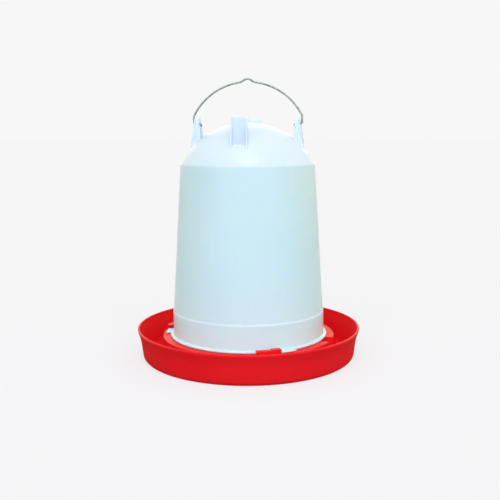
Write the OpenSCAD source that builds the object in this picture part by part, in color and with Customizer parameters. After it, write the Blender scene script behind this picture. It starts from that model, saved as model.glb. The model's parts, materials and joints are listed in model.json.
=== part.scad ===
// Poultry waterer fount: a round drinking tray, a translucent fount that is set down into it and
// turned under three catches, and a wire bail that swings in two of the fount's four posts.
// Origin: centre of the tray's underside. +Z up, bail pivot along X. Millimetres.

/* [Tray] */
// Diameter over the rim
tray_d = 360; // [330:1:420]
// Height of the rim's top above the floor
tray_h = 49.5; // [44:0.5:70]
// Thickness of the rounded edge of the rim
rim_d = 3.6; // [3:0.1:5]
// How far the flared lip under the rim stands out from the wall
lip_w = 4.8; // [2:0.2:8]
// Height of the flared lip
lip_h = 16.5; // [10:0.5:18]
// Wall thickness of the tray moulding
tray_wall = 2.8; // [2:0.1:4]
// How far the outer wall draws in from the lip to the foot
wall_draft = 3.2; // [1:0.2:8]
// Outside radius where the wall turns into the floor
foot_r = 8; // [5:0.5:10]

/* [Seat ring] */
// Height of the seat ring's top above the floor
ring_h = 35.6; // [32:0.2:38]
// Width of the ledge outside the fount's flange
ledge_w = 12.3; // [11:0.1:18]
// How far the trough's inner wall spreads from the ring's top to the floor
ring_draft = 2; // [0.5:0.5:6]
// Depth of the well inside the seat ring
well_depth = 15.6; // [13:0.2:18]
// Width of the water channel through the ring
channel_w = 24; // [12:1:40]
// Depth of the water channel
channel_depth = 12; // [9:0.5:12.5]
// Direction of the water channel, degrees from +X
channel_angle = 349; // [330:1:370]

/* [Fount] */
// Wall thickness of the fount moulding
fount_wall = 2.6; // [2:0.1:4]
// Diameter of the plain skirt above the flange
skirt_d = 244; // [220:1:260]
// Height from the flange's underside to the step above the skirt
skirt_h = 43; // [30:1:60]
// Depth of the step between the skirt and the tapered body
step_w = 1; // [0.5:0.1:2.5]
// Height of the tapered body from the step to the shoulder
body_h = 232; // [180:1:280]
// Diameter at the shoulder, where the dome starts
shoulder_d = 213; // [196:1:226]
// Rise of the dome above the shoulder
dome_rise = 64.8; // [50:0.2:85]
// How far the flange stands out from the skirt
flange_w = 5; // [4:0.5:8]
// Thickness of the flange
flange_t = 3; // [2.4:0.1:4]
// How far the spigot dips below the flange
spigot_depth = 6.4; // [4:0.2:7]

/* [Lock] */
// Reach of each lug outside the flange
lug_reach = 7; // [5:0.5:8]
// Step from each face of the flange in to the lug's face
lug_step = 0.3; // [0.1:0.05:0.6]
// Length of each lug, degrees
lug_deg = 11; // [7:0.5:13]
// Direction of the first lug as the fount is set down, degrees from +X
lug_angle = 305.8; // [300:0.1:312]
// Length of each catch, degrees
catch_deg = 16.4; // [15:0.2:22]
// Length of the closed end of each catch, degrees
catch_stop_deg = 2.6; // [1.5:0.1:4]
// Thickness of the catch's roof and outer wall
catch_t = 2.6; // [2.4:0.1:3.5]
// How much higher the open end of the catch is, for the lug to run in
lead_in = 1.2; // [0.4:0.1:1.6]
// Length of the higher open end, degrees
lead_in_deg = 7; // [4:0.5:9]

/* [Posts] */
// Rise of the post tops above the dome
post_rise = 7.2; // [6:0.2:20]
// Distance in from the shoulder to the outer face of a post's top
post_inset = 24; // [18:0.5:32]
// Width of a post at its top
post_w = 23.4; // [20:0.2:26]
// Depth of a post's side ribs along the radius, below their sloped top
post_depth = 8.5; // [7:0.5:12]
// How far the inner edge of each rib slopes back at its top
rib_back = 2.6; // [0.5:0.1:3.5]
// Height of that slope
rib_back_h = 27; // [15:1:32]
// Thickness of a post's plate and ribs
post_t = 2.6; // [2:0.1:3.5]
// Outward flare of the side ribs, millimetres for each millimetre of height
rib_flare = 0.144; // [0.06:0.002:0.15]
// Outward flare of the plate between the ribs
plate_flare = 0; // [0:0.005:0.09]
// Sideways draft of each rib, degrees
rib_draft = 1.9; // [0:0.1:3]
// Radius of a post's top corners
post_corner_r = 3.5; // [2.5:0.1:5]
// Distance from a post's top down to the bail's hole
pivot_drop = 9; // [7.5:0.5:11]

/* [Bail] */
// Diameter of the bail wire
wire_d = 3; // [2.4:0.1:4]
// Height above the pivot at which the arch meets the upright legs
leg_h = 12; // [10:0.2:16]
// Radius of the bend between a leg and the arch
kink_r = 6; // [4:0.5:10]
// Rise of the hook seat above the arch
seat_rise = 4.5; // [2.5:0.1:6]
// Radius of the hook seat's crown
seat_r = 10; // [6:0.5:12]
// Radius of the bends beside the hook seat
seat_side_r = 16; // [10:1:20]
// Length of the turned-down tail inside each post
tail_l = 4; // [3.5:0.5:7]
// Radius of the bends at the pivot
turn_r = 2.4; // [1.8:0.1:2.8]

/* [Fits] */
// Gap under the flange where it stands on the seat ring
seat_gap = 0.3; // [0.2:0.05:0.6]
// Gap between the lugs and the catches
lock_gap = 0.5; // [0.3:0.05:0.8]
// Gap round the spigot in the well
spigot_gap = 0.8; // [0.4:0.1:1.5]
// Gap round the wire in its hole
hole_gap = 0.5; // [0.3:0.05:0.8]
// Gap between the bail's legs and the posts
leg_gap = 0.8; // [0.6:0.1:2]
// Gap between the swinging bail and the posts' inner faces
swing_gap = 3.5; // [2:0.5:6]
// Gap between the bail's tails and the posts' plates
tail_gap = 3.9; // [1.5:0.1:5]

/* [Hidden] */
$fn = 120;
// Overlap that joins solids of one moulding
join = 0.6;
// Overshoot of every cut
cut = 1;

// How much thinner the wire is in a tight bend, and how far the bend runs into its neighbours
bend_thin = 0.05;
bend_run = 0.4;

lock_count = 3;
post_count = 4;

tray_r = tray_d / 2;
rim_r = rim_d / 2;
rim_axis_r = tray_r - rim_r;
rim_axis_z = tray_h - rim_r;
lip_foot_r = tray_r - lip_w;
lip_foot_z = tray_h - lip_h;
wall_foot_r = lip_foot_r - wall_draft;

flange_z = ring_h + seat_gap;
flange_r = skirt_d / 2 + flange_w;
skirt_r = skirt_d / 2;
mouth_r = skirt_r - fount_wall;
mouth_z = flange_z - spigot_depth;
spigot_r = skirt_r - step_w / 2;
step_z = flange_z + skirt_h;
shoulder_z = step_z + body_h;
shoulder_r = shoulder_d / 2;
apex_z = shoulder_z + dome_rise;
dome_r = (shoulder_r * shoulder_r + dome_rise * dome_rise) / (2 * dome_rise);
dome_axis_z = apex_z - dome_r;

ring_r = flange_r + ledge_w;
ring_foot_r = ring_r + ring_draft;
well_r = spigot_r + spigot_gap;
well_z = ring_h - well_depth;
channel_z = ring_h - channel_depth;

lug_r = flange_r + lug_reach;
lug_pitch = 360 / lock_count;
catch_in_r = flange_r + lock_gap;
catch_wall_r = lug_r + lock_gap;
catch_out_r = catch_wall_r + catch_t;
catch_under_z = flange_z + flange_t + lock_gap;
// One catch ends just before the lug that is set down beside it
catch_angle = lug_angle - lug_deg / 2 - lock_gap - catch_deg;

post_z = apex_z + post_rise;
post_r = shoulder_r - post_inset;
post_in_r = post_r - post_depth;
// The ribs run down into the dome's wall as far as the shoulder's height
post_l = post_z - shoulder_z;

pivot_z = post_z - pivot_drop;
wire_r = wire_d / 2;
leg_x = post_r + (pivot_drop + wire_r) * rib_flare + leg_gap + wire_r;
tail_x = post_r - post_t - tail_gap - wire_r;
crown_h = post_in_r - swing_gap - wire_r - seat_rise;
arch_rise = crown_h - leg_h;
arch_r = (leg_x * leg_x + arch_rise * arch_rise) / (2 * arch_rise);
arch_axis_h = crown_h - arch_r;
// The kink's arc touches the leg and the inside of the arch
kink_x = leg_x - kink_r;
kink_h = arch_axis_h + sqrt(pow(arch_r - kink_r, 2) - kink_x * kink_x);
kink_deg = atan2(kink_h - arch_axis_h, kink_x);
// The hook seat's side bends touch the arch from above and its crown from the side
seat_axis_h = crown_h + seat_rise - seat_r;
seat_span = seat_axis_h - arch_axis_h;
side_reach = arch_r + seat_side_r;
side_y = (pow(side_reach, 2) - pow(seat_r + seat_side_r, 2) + pow(seat_span, 2)) / (2 * seat_span);
side_x = sqrt(pow(side_reach, 2) - pow(side_y, 2));
side_h = arch_axis_h + side_y;
arch_end_deg = atan2(side_y, side_x);
seat_deg = atan2(side_h - seat_axis_h, side_x);

// Half outline of the tray: rim, flared lip, wall, floor, seat ring and well
module tray_outline() {
    half_wall = tray_wall / 2;
    translate([rim_axis_r, rim_axis_z]) circle(rim_r);
    polygon([
        [wall_foot_r, foot_r], [lip_foot_r, lip_foot_z], [rim_axis_r + half_wall, rim_axis_z],
        [rim_axis_r - half_wall, rim_axis_z], [lip_foot_r - tray_wall, lip_foot_z],
        [wall_foot_r - tray_wall, foot_r],
    ]);
    translate([wall_foot_r - foot_r, foot_r]) intersection() {
        difference() {
            circle(foot_r);
            circle(foot_r - tray_wall);
        }
        translate([0, -foot_r]) square(foot_r);
    }
    translate([ring_foot_r - tray_wall, 0])
        square([wall_foot_r - foot_r - ring_foot_r + tray_wall, tray_wall]);
    polygon([
        [ring_foot_r - tray_wall, 0], [ring_foot_r, 0],
        [ring_r, ring_h], [ring_r - tray_wall, ring_h],
    ]);
    translate([well_r, ring_h - tray_wall]) square([ring_r - well_r, tray_wall]);
    translate([well_r, well_z - tray_wall]) square([tray_wall, ring_h - well_z + tray_wall]);
    translate([0, well_z - tray_wall]) square([well_r + tray_wall, tray_wall]);
}

// The space under the seat ring, to the middle of its walls, which bounds the water channel's walls
module ring_body() {
    half_wall = tray_wall / 2;
    rotate_extrude() polygon([
        [well_r + half_wall, 0], [ring_foot_r - half_wall, 0],
        [ring_r - half_wall, ring_h], [ring_r - half_wall, ring_h - half_wall],
        [well_r + half_wall, ring_h - half_wall],
    ]);
}

// A straight channel of width w, from the floor height z up past the ring's top
module channel_block(w, z, top) {
    rotate([0, 0, channel_angle])
        translate([well_r - well_depth, -w / 2, z])
            cube([ring_foot_r - well_r + 2 * well_depth, w, top - z]);
}

// Hook over a lug: an outer wall and a roof, closed at one end and higher inside at the open end
module catch() {
    foot_z = ring_h - join;
    roof_z = catch_under_z + catch_t;
    roof_w = catch_out_r - catch_in_r;
    path_w = catch_wall_r - catch_in_r;
    low_deg = catch_deg - lead_in_deg;
    join_deg = join / catch_out_r * 180 / PI;
    difference() {
        rotate_extrude(angle = catch_deg) {
            translate([catch_wall_r, foot_z]) square([catch_t, roof_z - foot_z]);
            translate([catch_in_r, catch_under_z]) square([roof_w, catch_t]);
        }
        rotate([0, 0, low_deg]) rotate_extrude(angle = lead_in_deg + join_deg)
            translate([catch_in_r - cut, catch_under_z - cut])
                square([cut + path_w - join, cut + lead_in]);
    }
    rotate([0, 0, low_deg]) rotate_extrude(angle = lead_in_deg - join_deg)
        translate([catch_in_r + join, roof_z - join]) square([roof_w - 2 * join, join + lead_in]);
    rotate_extrude(angle = catch_stop_deg)
        translate([catch_in_r, foot_z]) square([path_w + join, catch_under_z - foot_z + join]);
}

// Drinking tray: one red moulding with its trough, seat ring, water channel and catches
module tray() {
    color("#d81e24") {
        difference() {
            union() {
                rotate_extrude() tray_outline();
                intersection() {
                    channel_block(channel_w + 2 * tray_wall, channel_z - tray_wall, ring_h);
                    ring_body();
                }
            }
            channel_block(channel_w, channel_z, ring_h + cut);
        }
        for (i = [0 : lock_count - 1])
            rotate([0, 0, catch_angle + i * lug_pitch]) catch();
    }
}

// Half outline of the fount's outside: spigot, flange, skirt, step, tapered body and dome
module fount_outline() {
    translate([0, mouth_z]) square([spigot_r, spigot_depth + flange_t]);
    translate([0, flange_z]) square([flange_r, flange_t]);
    translate([0, flange_z]) square([skirt_r, skirt_h - step_w]);
    polygon([
        [0, step_z - step_w], [skirt_r, step_z - step_w], [skirt_r - step_w, step_z],
        [shoulder_r, shoulder_z], [0, shoulder_z],
    ]);
    intersection() {
        translate([0, dome_axis_z]) circle(dome_r);
        translate([0, shoulder_z]) square([shoulder_r + cut, dome_rise + cut]);
    }
}

// Half outline of the water space inside the fount, open at the mouth
module water_outline() {
    translate([0, mouth_z - cut]) square([mouth_r, step_z - mouth_z + cut]);
    polygon([
        [0, step_z], [skirt_r - step_w - fount_wall, step_z],
        [shoulder_r - fount_wall, shoulder_z], [0, shoulder_z],
    ]);
    intersection() {
        translate([0, dome_axis_z]) circle(dome_r - fount_wall);
        translate([0, shoulder_z]) square([shoulder_r - fount_wall, dome_rise + cut]);
    }
}

// Front view of a post, with rounded top corners, standing on its own foot line
module post_face() {
    half = post_w / 2 - post_corner_r;
    spread = post_l * tan(rib_draft);
    for (side = [-1, 1]) translate([side * half, post_l - post_corner_r]) circle(post_corner_r);
    translate([-half, 0]) square([2 * half, post_l]);
    polygon([
        [-post_w / 2 - spread, 0], [post_w / 2 + spread, 0],
        [post_w / 2, post_l - post_corner_r], [-post_w / 2, post_l - post_corner_r],
    ]);
}

// Side view of a rib, from its inner edge, sloped back at the top, to its flared outer edge
module rib_side() {
    polygon([
        [post_in_r, 0], [post_r + post_l * rib_flare, 0], [post_r, post_l],
        [post_in_r + rib_back, post_l], [post_in_r, post_l - rib_back_h],
    ]);
}

// One foot post on the dome: a plate between two flared ribs, open towards the middle
module post() {
    rib_w = post_t + cut;
    half_w = post_w / 2 + post_l * tan(rib_draft) + cut;
    translate([0, 0, shoulder_z]) intersection() {
        union() {
            for (side = [0, 1])
                mirror([0, side, 0]) translate([0, post_w / 2 - post_t, post_l])
                    rotate([rib_draft, 0, 0]) translate([0, rib_w, -post_l])
                        rotate([90, 0, 0]) linear_extrude(rib_w) rib_side();
            translate([0, half_w, 0]) rotate([90, 0, 0]) linear_extrude(2 * half_w)
                polygon([
                    [post_r + post_l * plate_flare - post_t, 0], [post_r + post_l * plate_flare, 0],
                    [post_r, post_l], [post_r - post_t, post_l],
                ]);
        }
        translate([post_in_r - cut, 0, 0]) rotate([90, 0, 90])
            linear_extrude(post_depth + post_l * rib_flare + 2 * cut) post_face();
    }
}

// Fount: one translucent moulding with its flange, lugs, dome and four posts to stand on when filled
module fount() {
    color("#cdeaf5") difference() {
        union() {
            rotate_extrude() fount_outline();
            for (i = [0 : lock_count - 1])
                rotate([0, 0, lug_angle - lug_deg / 2 + i * lug_pitch])
                    rotate_extrude(angle = lug_deg)
                        translate([flange_r - join, flange_z + lug_step])
                            square([lug_reach + join, flange_t - 2 * lug_step]);
            for (i = [0 : post_count - 1]) rotate([0, 0, i * 360 / post_count]) post();
        }
        rotate_extrude() water_outline();
        for (side = [0, 180]) rotate([0, 0, side])
            translate([post_in_r - cut, 0, pivot_z]) rotate([0, 90, 0])
                cylinder(d = wire_d + 2 * hole_gap, h = leg_x - post_in_r + cut);
    }
}

// Curved stretch of wire of radius wire round the point x, h above the pivot
module arc(x, h, r, from, to, wire = wire_r) {
    translate([x, 0, h]) rotate([90, 0, 0]) rotate([0, 0, from])
        rotate_extrude(angle = to - from) translate([r, 0]) circle(wire);
}

// Tight bend, a touch thinner than the wire, whose ends run into the stretches beside it
module bend(x, h, r, from, to) {
    run_deg = bend_run / r * 180 / PI;
    arc(x, h, r, from - run_deg, to + run_deg, wire_r - bend_thin);
}

// Straight stretch of wire of length l that starts at x, h and runs along X or up Z
module straight(x, h, l, upright) {
    translate([x, 0, h]) rotate([0, upright ? 0 : 90, 0]) cylinder(r = wire_r, h = l);
}

// One half of the bail: tail, pivot, leg, arch and the bend beside the hook seat
module bail_half() {
    straight(tail_x, -tail_l, tail_l - turn_r, true);
    bend(tail_x + turn_r, -turn_r, turn_r, 90, 180);
    straight(tail_x + turn_r, 0, leg_x - tail_x - 2 * turn_r, false);
    bend(leg_x - turn_r, turn_r, turn_r, -90, 0);
    straight(leg_x, turn_r, kink_h - turn_r, true);
    bend(kink_x, kink_h, kink_r, 0, kink_deg);
    arc(0, arch_axis_h, arch_r, kink_deg, arch_end_deg);
    bend(side_x, side_h, seat_side_r, 180 + seat_deg, 180 + arch_end_deg);
}

// Bail: one length of galvanised wire, hooked through the two side posts
module bail() {
    color("#8c978f") translate([0, 0, pivot_z]) {
        bail_half();
        mirror([1, 0, 0]) bail_half();
        arc(0, seat_axis_h, seat_r, seat_deg, 180 - seat_deg);
    }
}

tray();
fount();
bail();
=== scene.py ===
# Poultry waterer fount: a red drinking tray, a translucent water fount that locks into it, and a wire bail.
# Metres, +Z up, origin at the middle of the tray's underside, the bail's pivot along X.
import json
import math

import bmesh
import bpy
from mathutils import Matrix, Vector


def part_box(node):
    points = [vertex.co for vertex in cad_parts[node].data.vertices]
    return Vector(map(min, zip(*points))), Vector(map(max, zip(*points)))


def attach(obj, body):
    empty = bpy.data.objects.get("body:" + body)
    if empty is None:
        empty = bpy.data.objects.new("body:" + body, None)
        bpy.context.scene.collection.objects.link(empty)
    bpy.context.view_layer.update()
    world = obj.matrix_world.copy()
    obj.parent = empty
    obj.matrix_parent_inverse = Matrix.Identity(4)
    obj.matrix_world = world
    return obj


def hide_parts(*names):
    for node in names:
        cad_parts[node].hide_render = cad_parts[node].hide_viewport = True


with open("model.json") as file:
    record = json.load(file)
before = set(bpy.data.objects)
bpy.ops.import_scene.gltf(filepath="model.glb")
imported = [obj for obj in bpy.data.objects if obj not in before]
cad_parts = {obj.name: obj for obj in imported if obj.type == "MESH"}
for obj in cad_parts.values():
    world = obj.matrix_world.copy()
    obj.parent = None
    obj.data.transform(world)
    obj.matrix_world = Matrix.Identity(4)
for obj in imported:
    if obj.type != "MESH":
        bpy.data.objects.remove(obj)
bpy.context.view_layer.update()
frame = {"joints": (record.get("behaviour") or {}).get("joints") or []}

# Drinking tray
# One injection moulding in satin red polypropylene: a flared rim, the trough, a hollow seat ring with a water
# channel through it, and hooks on the ring that hold the fount's lugs. It stands on its rounded foot.

Z_AXIS = (0, 0, 1)
joint_at = {joint["name"]: Vector(joint["pos_m"]) for joint in frame["joints"]}
tray_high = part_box("tray")[1]
weld = 1e-5
round_segments = 6

tray_wall = 0.0028
tray_steps = 186
rim_out = tray_high.x
rim_top = tray_high.z
rim_t = 0.0036
rim_round = 0.44 * rim_t
rim_neck_round = 0.002
lip_in = 0.0048
lip_h = 0.0165
lip_r = rim_out - lip_in
lip_z = rim_top - lip_h
lip_round = 0.06
foot_r = 0.17098
foot_round = 0.008
seat_gap = 0.0003
ring_top = joint_at["fount_twist"].z - seat_gap
ring_r = 0.1393
ring_foot_r = 0.1413
ring_foot_round = 0.0025
well_r = 0.1223
well_z = 0.020
well_round = 0.002
well_edge = 0.0008
edge_round = 0.0012

channel_deg = 349
channel_half = 0.012
channel_depth = 0.012
channel_z = ring_top - channel_depth
channel_edge = 0.0009
channel_span_deg = 15
channel_steps = 90


def outline(mesh, corners):
    """Draws a wire in the XZ plane through the corners, each (radius, height, rounding)."""
    verts = [mesh.verts.new((r, 0, z)) for r, z, _ in corners]
    for start, end in zip(verts, verts[1:]):
        mesh.edges.new((start, end))
    for i in range(1, len(verts) - 1):
        rounding = corners[i][2]
        before, here, after = (Vector((r, z)) for r, z, _ in corners[i - 1:i + 2])
        turn = (here - before).angle(after - here)
        if rounding:
            bmesh.ops.bevel(
                mesh, geom=[verts[i]], affect="VERTICES", offset=rounding * math.tan(turn / 2),
                segments=round_segments, profile=0.5, material=-1,
            )


def sweep(mesh, geom, degrees, steps):
    """Spins geometry about the upright axis and returns where it ends."""
    spun = bmesh.ops.spin(
        mesh, geom=geom, cent=(0, 0, 0), axis=Z_AXIS, angle=math.radians(degrees), steps=steps,
        use_merge=degrees == 360,
    )
    return spun["geom_last"]


def turned(mesh, degrees):
    """Turns everything in the mesh about the upright axis."""
    spin = Matrix.Rotation(math.radians(degrees), 3, "Z")
    bmesh.ops.rotate(mesh, verts=mesh.verts, cent=(0, 0, 0), matrix=spin)


def closed(mesh):
    """Welds a mesh's seams and poles and turns its faces outwards."""
    bmesh.ops.remove_doubles(mesh, verts=mesh.verts, dist=weld)
    bmesh.ops.recalc_face_normals(mesh, faces=mesh.faces)


def soften(mesh, size, degrees=40, segments=2):
    """Rounds every edge that is sharper than an angle."""
    sharp = [e for e in mesh.edges if e.is_manifold and e.calc_face_angle() > math.radians(degrees)]
    bmesh.ops.bevel(
        mesh, geom=sharp, affect="EDGES", offset=size, segments=segments, profile=0.5, material=-1,
        clamp_overlap=True,
    )


def ease(value):
    """Runs smoothly from 0 to 1."""
    value = min(max(value, 0), 1)
    return value * value * (3 - 2 * value)


def placed(name, mesh):
    """Makes an object of a finished mesh."""
    data = bpy.data.meshes.new(name)
    mesh.to_mesh(data)
    mesh.free()
    piece = bpy.data.objects.new(name, data)
    bpy.context.collection.objects.link(piece)
    return piece


def fused(piece, tools):
    """Joins or cuts a piece with other solids, each (operation, object), and removes those."""
    for operation, tool in tools:
        step = piece.modifiers.new(operation, "BOOLEAN")
        step.operation = operation
        step.solver = "EXACT"
        step.object = tool
    graph = bpy.context.evaluated_depsgraph_get()
    data = bpy.data.meshes.new_from_object(piece.evaluated_get(graph))
    piece.modifiers.clear()
    data.name = piece.name
    piece.data = data
    for _, tool in tools:
        bpy.data.objects.remove(tool)


def shaded(piece, degrees=32):
    """Smooth faces with crisp edges past an angle."""
    piece.data.shade_smooth()
    piece.data.set_sharp_from_angle(angle=math.radians(degrees))


def tray_shell():
    """The moulding as a spun wall, with the water channel sunk into its seat ring."""
    half_wall = tray_wall / 2
    rim_middle = rim_out - rim_t / 2
    neck_z = rim_top - rim_t / 2 - rim_round
    mesh = bmesh.new()
    outline(mesh, [
        (0, well_z, 0),
        (well_r, well_z, well_round),
        (well_r, ring_top, well_edge),
        (ring_r, ring_top, edge_round),
        (ring_foot_r, tray_wall, ring_foot_round),
        (foot_r - tray_wall, tray_wall, foot_round - tray_wall),
        (lip_r - tray_wall, lip_z, lip_round),
        (rim_middle - half_wall, neck_z, rim_neck_round),
        (rim_out - rim_t, rim_top, rim_round),
        (rim_out, rim_top, rim_round),
        (rim_middle + half_wall, neck_z, rim_neck_round),
        (lip_r, lip_z, lip_round),
        (foot_r, 0, foot_round),
        (ring_foot_r - tray_wall, 0, edge_round),
        (ring_r - tray_wall, ring_top - tray_wall, edge_round),
        (well_r + tray_wall, ring_top - tray_wall, edge_round),
        (well_r + tray_wall, well_z - tray_wall, edge_round),
        (0, well_z - tray_wall, 0),
    ])
    turned(mesh, channel_deg - channel_span_deg / 2)
    fine = sweep(mesh, mesh.verts[:] + mesh.edges[:], channel_span_deg, channel_steps)
    sweep(mesh, fine, 360 - channel_span_deg, tray_steps)
    closed(mesh)
    along = Vector((math.cos(math.radians(channel_deg)), math.sin(math.radians(channel_deg)), 0))
    across = along.cross(Vector(Z_AXIS))
    under_top = ring_top - half_wall
    for vert in mesh.verts:
        if vert.co.dot(along) < well_r / 2 or vert.co.xy.length > ring_foot_r + tray_wall:
            continue
        below = vert.co.z < under_top
        inner = well_r + half_wall < vert.co.xy.length < ring_r - half_wall
        spare = tray_wall if below and inner else 0
        rise = ease((abs(vert.co.dot(across)) - channel_half - spare) / channel_edge)
        floor_z = channel_z - spare
        vert.co.z = min(vert.co.z, floor_z + rise * (ring_top - floor_z))
    return placed("tray", mesh)


catch_in_r = 0.1275
catch_wall_r = 0.1345
catch_out_r = 0.1371
catch_under = 0.0394
catch_t = 0.0026
catch_sink = 0.0006
catch_from_deg = 283.4
catch_deg = 16.4
catch_steps = 41
catch_edge = 0.0005
lead_in = 0.0012
lead_in_deg = 7
lead_in_ramp_deg = 1.2
stop_deg = 2.6
stop_steps = 6
stop_inset_deg = math.degrees(catch_edge / catch_out_r)
lock_count = 3


def swept_face(corners, degrees, steps):
    """A solid swept about the upright axis from a face with these (radius, height) corners."""
    mesh = bmesh.new()
    face = mesh.faces.new([mesh.verts.new((r, 0, z)) for r, z in corners])
    sweep(mesh, face.verts[:] + face.edges[:] + [face], degrees, steps)
    closed(mesh)
    return mesh


def catch(index):
    """One hook: an outer wall and a roof, higher where the lug runs in."""
    foot = ring_top - catch_sink
    roof = catch_under + catch_t
    mesh = swept_face([
        (catch_in_r, catch_under), (catch_wall_r, catch_under), (catch_wall_r, foot),
        (catch_out_r, foot), (catch_out_r, roof), (catch_in_r, roof),
    ], catch_deg, catch_steps)
    for vert in mesh.verts:
        turn = math.degrees(math.atan2(vert.co.y, vert.co.x))
        if vert.co.z > ring_top:
            vert.co.z += lead_in * ease((turn - catch_deg + lead_in_deg) / lead_in_ramp_deg)
    soften(mesh, catch_edge)
    turned(mesh, catch_from_deg + index * 360 / lock_count)
    return placed("catch", mesh)


def catch_stop(index):
    """The closed end of one hook, set in from the hook's own end."""
    inner, outer = catch_in_r + catch_edge, catch_wall_r + catch_sink
    low, high = ring_top - catch_sink, catch_under + catch_sink
    corners = [(inner, low), (outer, low), (outer, high), (inner, high)]
    mesh = swept_face(corners, stop_deg - stop_inset_deg, stop_steps)
    soften(mesh, catch_edge / 2)
    turned(mesh, catch_from_deg + stop_inset_deg + index * 360 / lock_count)
    return placed("catch_stop", mesh)


def feed(tree, socket, value):
    """Sets a socket, or links it to another."""
    if isinstance(value, bpy.types.NodeSocket):
        tree.links.new(value, socket)
    else:
        socket.default_value = value


def fed(tree, target, **inputs):
    """Sets or links a shader node's inputs by name, and returns the node."""
    for name, value in inputs.items():
        feed(tree, target.inputs[name.replace("_", " ")], value)
    return target


def node(tree, kind, **inputs):
    """Adds a shader node with these inputs."""
    return fed(tree, tree.nodes.new(kind), **inputs)


def ramp(tree, value, low, high, to_low=0.0, to_high=1.0):
    """Maps a value's range on to another, held at the ends."""
    return node(
        tree, "ShaderNodeMapRange", Value=value, From_Min=low, From_Max=high, To_Min=to_low, To_Max=to_high,
    ).outputs["Result"]


def mixed(tree, factor, first, second):
    """Mixes two colours."""
    added = tree.nodes.new("ShaderNodeMix")
    added.data_type = "RGBA"
    for i, value in ((0, factor), (6, first), (7, second)):
        feed(tree, added.inputs[i], value)
    return added.outputs[2]


def maths(tree, operation, first, second):
    """Works out one value from two others."""
    added = tree.nodes.new("ShaderNodeMath")
    added.operation = operation
    for i, value in enumerate((first, second)):
        feed(tree, added.inputs[i], value)
    return added.outputs[0]


def object_place(tree):
    """Where on the object a point of its surface lies."""
    return tree.nodes.new("ShaderNodeTexCoord").outputs["Object"]


def height(tree, place):
    """How high a place is."""
    return node(tree, "ShaderNodeSeparateXYZ", Vector=place).outputs["Z"]


def distance(tree, place, point):
    """How far a place is from a point."""
    added = tree.nodes.new("ShaderNodeVectorMath")
    added.operation = "DISTANCE"
    for i, value in enumerate((place, point)):
        feed(tree, added.inputs[i], value)
    return added.outputs["Value"]


def colour(red, green, blue):
    """A colour as it is seen on a screen, 0 to 255, as the shader wants it."""
    def linear(part):
        part /= 255
        return part / 12.92 if part <= 0.04045 else ((part + 0.055) / 1.055) ** 2.4
    return linear(red), linear(green), linear(blue), 1


noise_span = (0.3, 0.7)
smudge_swirl = 0.3


def moulded_surface():
    """What smooth mouldings share: soft cloudy shade, handling marks in the gloss, and a fine orange peel."""
    group = bpy.data.node_groups.new("moulded_surface", "ShaderNodeTree")
    names = ("Cloud", "Smudge", "Peel")
    for name in names:
        group.interface.new_socket(name + " Scale", in_out="INPUT", socket_type="NodeSocketFloat")
        group.interface.new_socket(name, in_out="OUTPUT", socket_type="NodeSocketFloat")
    scale = group.nodes.new("NodeGroupInput").outputs
    place = object_place(group)
    cloud = node(group, "ShaderNodeTexNoise", Vector=place, Scale=scale["Cloud Scale"], Detail=2.0)
    smudge = node(
        group, "ShaderNodeTexNoise", Vector=place, Scale=scale["Smudge Scale"], Detail=2.0,
        Distortion=smudge_swirl,
    )
    peel = node(group, "ShaderNodeTexNoise", Vector=place, Scale=scale["Peel Scale"], Detail=1.0)
    result = group.nodes.new("NodeGroupOutput")
    for name, noise in zip(names, (cloud, smudge, peel)):
        group.links.new(ramp(group, noise.outputs[0], *noise_span), result.inputs[name])
    return group


surface_group = moulded_surface()


def new_material(name):
    """An empty material with its shader, as (material, tree, shader)."""
    material = bpy.data.materials.new(name)
    material.use_nodes = True
    return material, material.node_tree, material.node_tree.nodes["Principled BSDF"]


def surface(tree, cloud, smudge, peel):
    """Places the shared moulded surface in a material, at these scales."""
    group = tree.nodes.new("ShaderNodeGroup")
    group.node_tree = surface_group
    return fed(tree, group, Cloud_Scale=cloud, Smudge_Scale=smudge, Peel_Scale=peel).outputs


def peeled(tree, peel, strength, depth):
    """The fine unevenness of a moulded face."""
    return node(tree, "ShaderNodeBump", Height=peel, Strength=strength, Distance=depth).outputs["Normal"]


def rubbed_parts(tree):
    """1 on the rim's edge, and on the seat ring and its hooks, which hands and the fount rub smooth."""
    place = object_place(tree)
    up = height(tree, place)
    flat = node(tree, "ShaderNodeMapping", Vector=place, Scale=(1, 1, 0)).outputs["Vector"]
    inside = ramp(tree, distance(tree, flat, (0, 0, 0)), ring_foot_r + tray_wall, ring_foot_r)
    above = ramp(tree, up, ring_top - 2 * edge_round, ring_top - edge_round)
    rim = ramp(tree, up, rim_top - rim_t, rim_top - rim_round)
    return maths(tree, "MAXIMUM", maths(tree, "MULTIPLY", inside, above), rim)


tray_red = colour(238, 20, 29)
tray_red_pale = colour(244, 26, 35)
tray_satin = (0.76, 0.86)
tray_rub = 0.42


def tray_plastic():
    """Red plastic with a satin face, smoother where it is rubbed."""
    material, tree, shader = new_material("tray_plastic")
    cloud, smudge, peel = surface(tree, cloud=14.0, smudge=55.0, peel=700.0)
    rubbed = ramp(tree, rubbed_parts(tree), 0, 1, 0, tray_rub)
    fed(
        tree, shader,
        Base_Color=mixed(tree, cloud, tray_red, tray_red_pale),
        Roughness=maths(tree, "SUBTRACT", ramp(tree, smudge, 0, 1, *tray_satin), rubbed),
        Normal=peeled(tree, peel, strength=0.04, depth=0.0004),
        IOR=1.46,
        Specular_IOR_Level=0.16,
    )
    return material


tray = tray_shell()
fused(tray, [("UNION", make(i)) for i in range(lock_count) for make in (catch, catch_stop)])
shaded(tray)
tray.data.materials.clear()
tray.data.materials.append(tray_plastic())
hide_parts("tray")
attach(tray, "tray")

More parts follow.
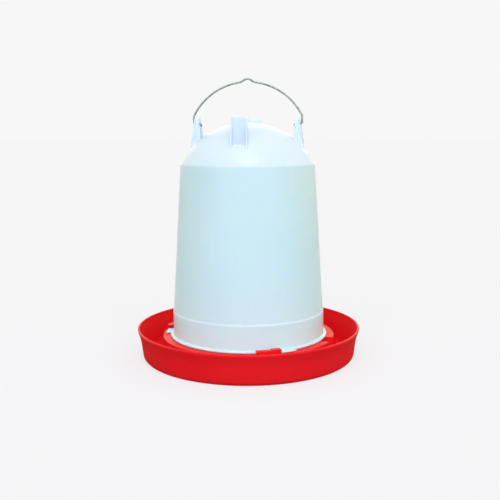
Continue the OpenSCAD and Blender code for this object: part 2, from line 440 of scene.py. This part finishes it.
# Fount
# One moulding in natural translucent polyethylene: a spigot that dips into the tray's well, a flange with
# lugs, a plain skirt, a tapered body, a dome, and posts on which it stands upside down while it is filled.

Y_AXIS = (0, 1, 0)
fount_low, fount_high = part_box("fount")
fount_wall = 0.0026
fount_steps = 168
mouth_z = fount_low.z
mouth_round = 0.0008
spigot_r = 0.1215
spigot_round = 0.0003
flange_z = joint_at["fount_twist"].z
flange_t = 0.003
flange_r = 0.127
flange_low_round = 0.0009
flange_round = 0.0012
skirt_r = 0.122
skirt_h = 0.043
skirt_round = 0.002
step_z = flange_z + skirt_h
step_drop = 0.003
step_w = 0.001
step_round = 0.006
body_h = 0.232
shoulder_z = step_z + body_h
shoulder_r = 0.1065
shoulder_round = 0.008
dome_inset = 0.006
dome_rise = 0.0648
dome_r = (shoulder_r ** 2 + dome_rise ** 2) / (2 * dome_rise)
dome_steps = 24
apex_z = shoulder_z + dome_rise


def dome_arc(mesh, radius, to_r):
    """Draws the dome's arc down from the axis to a radius."""
    centre = Vector((0, 0, apex_z - dome_r))
    top = mesh.verts.new((0, 0, centre.z + radius))
    angle = math.asin(to_r / radius)
    bmesh.ops.spin(mesh, geom=[top], cent=centre, axis=Y_AXIS, angle=angle, steps=dome_steps)


def fount_solid(name, corners, dome_radius, end_r):
    """A solid of revolution: a dome on top of an outline that runs from the axis up to the dome's edge."""
    mesh = bmesh.new()
    dome_arc(mesh, dome_radius, end_r)
    edge_z = apex_z - dome_r + math.sqrt(dome_radius ** 2 - end_r ** 2)
    outline(mesh, corners + [(end_r, edge_z, 0)])
    bmesh.ops.remove_doubles(mesh, verts=mesh.verts, dist=weld)
    sweep(mesh, mesh.verts[:] + mesh.edges[:], 360, fount_steps)
    closed(mesh)
    return placed(name, mesh)


fount = fount_solid("fount", [
    (0, mouth_z, 0),
    (spigot_r, mouth_z, mouth_round),
    (spigot_r, flange_z, spigot_round),
    (flange_r, flange_z, flange_low_round),
    (flange_r, flange_z + flange_t, flange_round),
    (skirt_r, flange_z + flange_t, skirt_round),
    (skirt_r, step_z - step_drop, step_round),
    (skirt_r - step_w, step_z, step_round),
    (shoulder_r, shoulder_z, shoulder_round),
], dome_r, shoulder_r - dome_inset)
water_space = fount_solid("water_space", [
    (0, mouth_z - fount_wall, 0),
    (skirt_r - fount_wall, mouth_z - fount_wall, 0),
    (skirt_r - fount_wall, step_z - step_drop, step_round),
    (skirt_r - step_w - fount_wall, step_z, step_round),
    (shoulder_r - fount_wall, shoulder_z, shoulder_round),
], dome_r - fount_wall, shoulder_r - fount_wall - dome_inset)

lug_r = 0.134
lug_root = 0.0015
lug_deg = 11
lug_middle_deg = 305.8
lug_steps = 10
lug_inset = 0.0003
lug_edge = 0.0007


def lug(index):
    """One tab of the lock, at the edge of the flange."""
    low, high = flange_z + lug_inset, flange_z + flange_t - lug_inset
    root_r = flange_r - lug_root
    mesh = swept_face([(root_r, low), (lug_r, low), (lug_r, high), (root_r, high)], lug_deg, lug_steps)
    soften(mesh, lug_edge)
    turned(mesh, lug_middle_deg - lug_deg / 2 + index * 360 / lock_count)
    return placed("lug", mesh)


post_top = fount_high.z
post_r = 0.0825
post_in_r = 0.074
post_half = 0.0117
post_t = 0.0026
rib_proud = 0.0002
rib_back = 0.0026
rib_back_h = 0.027
rib_flare = 0.144
rib_draft_deg = 1.9
rib_spread = math.tan(math.radians(rib_draft_deg))
post_drop = post_top - shoulder_z
post_corner = 0.0022
post_corner_segments = 5
post_edge = 0.0005
post_count = 4


def post_section(drop):
    """The post's U section at a distance below its top: two ribs and the plate between them."""
    rib_in = post_in_r + rib_back * max(1 - drop / rib_back_h, 0)
    rib_out = post_r + rib_proud + drop * rib_flare
    outer = post_half + drop * rib_spread
    inner = outer - post_t
    half = [
        (post_r - post_t, inner), (rib_in, inner), (rib_in, outer),
        (rib_out, outer), (rib_out, inner), (post_r, inner),
    ]
    return half + [(r, -side) for r, side in reversed(half)]


def post(index):
    """One foot post, with its top corners rounded and its edges eased."""
    mesh = bmesh.new()
    rings = []
    for drop in (0, rib_back_h, post_drop):
        verts = [mesh.verts.new((r, side, post_top - drop)) for r, side in post_section(drop)]
        rings.append([mesh.edges.new(ends) for ends in zip(verts, verts[1:] + verts[:1])])
    for upper, lower in zip(rings, rings[1:]):
        bmesh.ops.bridge_loops(mesh, edges=upper + lower)
    for ring in (rings[0], rings[-1]):
        bmesh.ops.contextual_create(mesh, geom=ring)
    closed(mesh)
    corners = [
        e for e in mesh.edges
        if all(v.co.z > post_top - weld and abs(abs(v.co.y) - post_half) < weld for v in e.verts)
    ]
    bmesh.ops.bevel(
        mesh, geom=corners, affect="EDGES", offset=post_corner, segments=post_corner_segments, profile=0.5,
        material=-1,
    )
    soften(mesh, post_edge)
    turned(mesh, index * 360 / post_count)
    return placed("post", mesh)


pivot_z = joint_at["bail_swing"].z
hole_r = 0.002
hole_l = 0.014
hole_sides = 32


def pivot_hole(side):
    """A round cutter through one side post, for the bail's end."""
    mesh = bmesh.new()
    along = Matrix.Translation((side * post_r, 0, pivot_z)) @ Matrix.Rotation(math.radians(90), 4, "Y")
    bmesh.ops.create_cone(
        mesh, cap_ends=True, segments=hole_sides, radius1=hole_r, radius2=hole_r, depth=hole_l, matrix=along,
    )
    return placed("pivot_hole", mesh)


# Painted reflections: pale upright streaks on the fount's body.
streak_turn = math.radians(75)
streak_lift = 0.011
streak_squeeze = 0.03
streak_scale = 210.0
streak_span = (0.64, 0.74)
streak_strength = 0.5
streak_cloud = (0.4, 0.7)


def painted_reflection_streaks(tree, cloud):
    """Painted reflections: thin pale upright streaks of light off the body's flow lines, broken up by a
    cloudy tone.
    """
    drawn_out = node(
        tree, "ShaderNodeMapping", Vector=object_place(tree), Location=(0, 0, streak_lift),
        Rotation=(0, 0, streak_turn), Scale=(1, 1, streak_squeeze),
    ).outputs["Vector"]
    lines = node(tree, "ShaderNodeTexNoise", Vector=drawn_out, Scale=streak_scale, Detail=1.0).outputs[0]
    painted_streaks = ramp(tree, lines, *streak_span, 0, streak_strength)
    return maths(tree, "MULTIPLY", painted_streaks, ramp(tree, cloud, *streak_cloud))


body_blue = colour(210, 238, 251)
body_blue_pale = colour(215, 241, 253)
# Painted reflection: the pale colour of the streaks.
reflection_streak_white = colour(232, 248, 254)
# Painted light: the skirt is whiter to stand in for light it lacks below the tray's rim.
skirt_lit_white = colour(212, 242, 249)
# Painted sheen: whiter colours for the dome and posts, standing in for the light from above.
dome_sheen_white = colour(221, 236, 249)
post_sheen_white = colour(217, 234, 247)
fount_satin = (0.285, 0.33)
milk_depth = 0.0025
blend_h = 0.0015


def fount_plastic():
    """Milky plastic, with a painted sheen on the dome and posts, painted light on the skirt and painted
    reflections.
    """
    material, tree, shader = new_material("fount_plastic")
    cloud, smudge, peel = surface(tree, cloud=9.0, smudge=30.0, peel=500.0)
    place = object_place(tree)
    up = height(tree, place)
    above = ramp(tree, up, shoulder_z - blend_h, shoulder_z + blend_h)
    below = ramp(tree, up, step_z - step_drop, step_z - step_drop - 2 * blend_h)
    from_dome = distance(tree, place, (0, 0, apex_z - dome_r))
    post_part = ramp(tree, from_dome, dome_r, dome_r + blend_h)
    body_tone = mixed(tree, cloud, body_blue, body_blue_pale)
    # Painted reflections: pale streaks mixed into the body's colour.
    with_painted_reflections = mixed(tree, painted_reflection_streaks(tree, cloud), body_tone, reflection_streak_white)
    # Painted light: below the step, the skirt takes a whiter colour.
    skirt = mixed(tree, below, with_painted_reflections, skirt_lit_white)
    # Painted sheen: above the shoulder, the dome and posts take a whiter colour for the light from above.
    painted_top_sheen = mixed(tree, post_part, dome_sheen_white, post_sheen_white)
    fed(
        tree, shader,
        Base_Color=mixed(tree, above, skirt, painted_top_sheen),
        Roughness=ramp(tree, smudge, 0, 1, *fount_satin),
        Normal=peeled(tree, peel, strength=0.05, depth=0.0005),
        IOR=1.5,
        Specular_IOR_Level=0.36,
        Subsurface_Weight=1.0,
        Subsurface_Radius=(1.0, 1.0, 0.8),
        Subsurface_Scale=milk_depth,
    )
    return material


fused(fount, [("UNION", lug(i)) for i in range(lock_count)] + [("UNION", post(i)) for i in range(post_count)])
fused(fount, [("DIFFERENCE", water_space)] + [("DIFFERENCE", pivot_hole(side)) for side in (-1, 1)])
shaded(fount)
fount.data.materials.clear()
fount.data.materials.append(fount_plastic())
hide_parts("fount")
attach(fount, "fount")

# Bail
# One length of galvanised wire, bent to an arch with a bump that keeps a hook in the middle. Its ends go
# through the two side posts and turn down inside them.

wire_r = 0.0015
wire_sides = 20
bend_steps = 8
arch_steps = 28
leg_x = 0.08631
leg_h = 0.012
kink_r = 0.006
crown_h = 0.0645
seat_rise = 0.0045
seat_r = 0.010
side_r = 0.016
tail_x = 0.0745
tail_l = 0.004
tail_edge = wire_r / 4
turn_r = 0.0024
arch_rise = crown_h - leg_h
arch_r = (leg_x ** 2 + arch_rise ** 2) / (2 * arch_rise)
arch_h = crown_h - arch_r
kink_h = arch_h + math.sqrt((arch_r - kink_r) ** 2 - (leg_x - kink_r) ** 2)
kink_deg = math.degrees(math.atan2(kink_h - arch_h, leg_x - kink_r))
seat_h = crown_h + seat_rise - seat_r
seat_span = seat_h - arch_h
side_up = ((arch_r + side_r) ** 2 - (seat_r + side_r) ** 2 + seat_span ** 2) / (2 * seat_span)
side_x = math.sqrt((arch_r + side_r) ** 2 - side_up ** 2)
side_h = arch_h + side_up
arch_deg = math.degrees(math.atan2(side_up, side_x))
seat_deg = math.degrees(math.atan2(side_h - seat_h, side_x))


def bent(mesh, ring, x, h, degrees, steps=bend_steps):
    """Bends the wire on from a ring, round a point beside it, and returns its new end."""
    spun = bmesh.ops.spin(
        mesh, geom=ring, cent=(x, 0, pivot_z + h), axis=Y_AXIS, angle=math.radians(degrees), steps=steps,
    )
    return spun["geom_last"]


def drawn(mesh, ring, offset):
    """Runs the wire straight on from a ring and returns its new end."""
    edges = [e for e in ring if isinstance(e, bmesh.types.BMEdge)]
    grown = bmesh.ops.extrude_edge_only(mesh, edges=edges)["geom"]
    verts = [v for v in grown if isinstance(v, bmesh.types.BMVert)]
    bmesh.ops.translate(mesh, verts=verts, vec=offset)
    loose = [e for e in grown if isinstance(e, bmesh.types.BMEdge) and all(v in verts for v in e.verts)]
    return verts + loose


def bail_wire():
    """Half the wire, from the middle of the hook seat to the end of a tail, and its mirror image."""
    mesh = bmesh.new()
    top = Matrix.Translation((0, 0, pivot_z + crown_h + seat_rise))
    across = top @ Matrix.Rotation(math.radians(90), 4, "Y")
    bmesh.ops.create_circle(mesh, segments=wire_sides, radius=wire_r, matrix=across)
    ring = mesh.verts[:] + mesh.edges[:]
    ring = bent(mesh, ring, 0, seat_h, 90 - seat_deg)
    ring = bent(mesh, ring, side_x, side_h, seat_deg - arch_deg)
    ring = bent(mesh, ring, 0, arch_h, arch_deg - kink_deg, arch_steps)
    ring = bent(mesh, ring, leg_x - kink_r, kink_h, kink_deg)
    ring = drawn(mesh, ring, (0, 0, turn_r - kink_h))
    ring = bent(mesh, ring, leg_x - turn_r, turn_r, 90)
    ring = drawn(mesh, ring, (tail_x + 2 * turn_r - leg_x, 0, 0))
    ring = bent(mesh, ring, tail_x + turn_r, -turn_r, -90)
    ring = drawn(mesh, ring, (0, 0, turn_r - tail_l))
    end = bmesh.ops.contextual_create(mesh, geom=[e for e in ring if isinstance(e, bmesh.types.BMEdge)])
    bmesh.ops.bevel(
        mesh, geom=[e for f in end["faces"] for e in f.edges], affect="EDGES", offset=tail_edge, segments=2,
        profile=0.5, material=-1,
    )
    bmesh.ops.mirror(mesh, geom=mesh.verts[:] + mesh.edges[:] + mesh.faces[:], axis="X", merge_dist=weld)
    closed(mesh)
    return placed("bail", mesh)


zinc_dark = colour(108, 124, 112)
zinc_pale = colour(160, 172, 160)
zinc_rough = (0.35, 0.55)
spangle_scale = 260.0
spangle_span = (0.35, 0.65)


def bail_zinc():
    """Dull zinc with a fine spangle."""
    material, tree, shader = new_material("bail_wire")
    place = object_place(tree)
    spangle = node(tree, "ShaderNodeTexNoise", Vector=place, Scale=spangle_scale, Detail=4.0).outputs[0]
    fed(
        tree, shader,
        Base_Color=mixed(tree, ramp(tree, spangle, *spangle_span), zinc_dark, zinc_pale),
        Roughness=ramp(tree, spangle, *noise_span, *zinc_rough),
        Metallic=0.85,
    )
    return material


bail = bail_wire()
shaded(bail, degrees=50)
bail.data.materials.append(bail_zinc())
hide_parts("bail")
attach(bail, "bail")

# Floor and light
# A plain pale floor that runs on into the background and keeps the object's shadow, an even sky, a small lamp
# high in front, and four wide soft lamps low down on all sides.

page = colour(247, 247, 247)
floor_shade = colour(134, 132, 137)
floor_glow = 0.69
floor_drop = 0.0002
floor_half = 60
sky_tint = (0.96, 1.05, 1.04, 1)
sky_strength = 0.4


def seen_ray(tree):
    """1 for a ray from the camera, a reflection or a clear piece, and 0 for one that carries light."""
    path = tree.nodes.new("ShaderNodeLightPath").outputs
    mirrored = maths(tree, "ADD", path["Is Camera Ray"], path["Is Glossy Ray"])
    return ramp(tree, maths(tree, "ADD", mirrored, path["Is Transmission Ray"]), 0, 1)


def floor_paint():
    """Matt paint, as pale as the page where it is seen."""
    material, tree, shader = new_material("floor_paint")
    fed(
        tree, shader,
        Base_Color=floor_shade,
        Roughness=0.9,
        Specular_IOR_Level=0.0,
        Emission_Color=(1, 1, 1, 1),
        Emission_Strength=ramp(tree, seen_ray(tree), 0, 1, 0, floor_glow),
    )
    return material


floor_mesh = bmesh.new()
bmesh.ops.create_grid(
    floor_mesh, x_segments=1, y_segments=1, size=floor_half, matrix=Matrix.Translation((0, 0, -floor_drop)),
)
floor = placed("floor", floor_mesh)
floor.data.materials.append(floor_paint())


def sky():
    """An even sky that lights the object, and shows the page behind it."""
    world = bpy.data.worlds.new("sky")
    world.use_nodes = True
    tree = world.node_tree
    tree.nodes.clear()
    light = node(tree, "ShaderNodeBackground", Color=sky_tint, Strength=sky_strength)
    shown = node(tree, "ShaderNodeBackground", Color=page, Strength=1.0)
    both = tree.nodes.new("ShaderNodeMixShader")
    for i, value in enumerate((seen_ray(tree), light.outputs[0], shown.outputs[0])):
        tree.links.new(value, both.inputs[i])
    node(tree, "ShaderNodeOutputWorld", Surface=both.outputs[0])
    return world


view_deg = 8.8


def lamp(name, strength, spread_deg, height_deg, round_deg, tint):
    """A far soft lamp, at an angle above the floor and round from the camera's side."""
    light = bpy.data.lights.new(name, "SUN")
    light.energy = strength
    light.angle = math.radians(spread_deg)
    light.color = tint
    lamp_object = bpy.data.objects.new(name, light)
    lamp_object.rotation_euler = (math.radians(90 - height_deg), 0, math.radians(view_deg + round_deg))
    bpy.context.collection.objects.link(lamp_object)


bpy.context.scene.world = sky()
bpy.context.scene.view_settings.view_transform = "Standard"
lamp("key_lamp", strength=0.55, spread_deg=7, height_deg=64, round_deg=0, tint=(1.05, 0.95, 1.05))
lamp("back_lamp", strength=0.65, spread_deg=60, height_deg=14, round_deg=180, tint=(1, 0.88, 0.6))
lamp("left_lamp", strength=0.42, spread_deg=60, height_deg=10, round_deg=-105, tint=(0.86, 1.05, 0.5))
lamp("right_lamp", strength=0.76, spread_deg=60, height_deg=10, round_deg=105, tint=(0.98, 1.04, 0.5))
lamp("front_lamp", strength=3.05, spread_deg=110, height_deg=8, round_deg=0, tint=(0.97, 0.97, 1.05))

# Camera
# Where the photograph was taken from: in front, a little to the right, and just below the top of the fount.

camera_distance = 1.20875
camera_height = 0.35673
camera_down_deg = 8.674
camera_yaw_deg = -0.144
camera_roll_deg = -0.251
camera = bpy.data.cameras.new("camera")
camera.sensor_width = 36
camera.lens = 54.43
camera_object = bpy.data.objects.new("camera", camera)
around = math.radians(view_deg)
camera_object.location = (
    camera_distance * math.sin(around), -camera_distance * math.cos(around), camera_height,
)
aim = Matrix.Rotation(math.radians(view_deg + camera_yaw_deg), 3, "Z")
aim = aim @ Matrix.Rotation(math.radians(90 - camera_down_deg), 3, "X")
aim = aim @ Matrix.Rotation(math.radians(camera_roll_deg), 3, "Z")
camera_object.rotation_euler = aim.to_euler()
bpy.context.collection.objects.link(camera_object)
bpy.context.scene.camera = camera_object
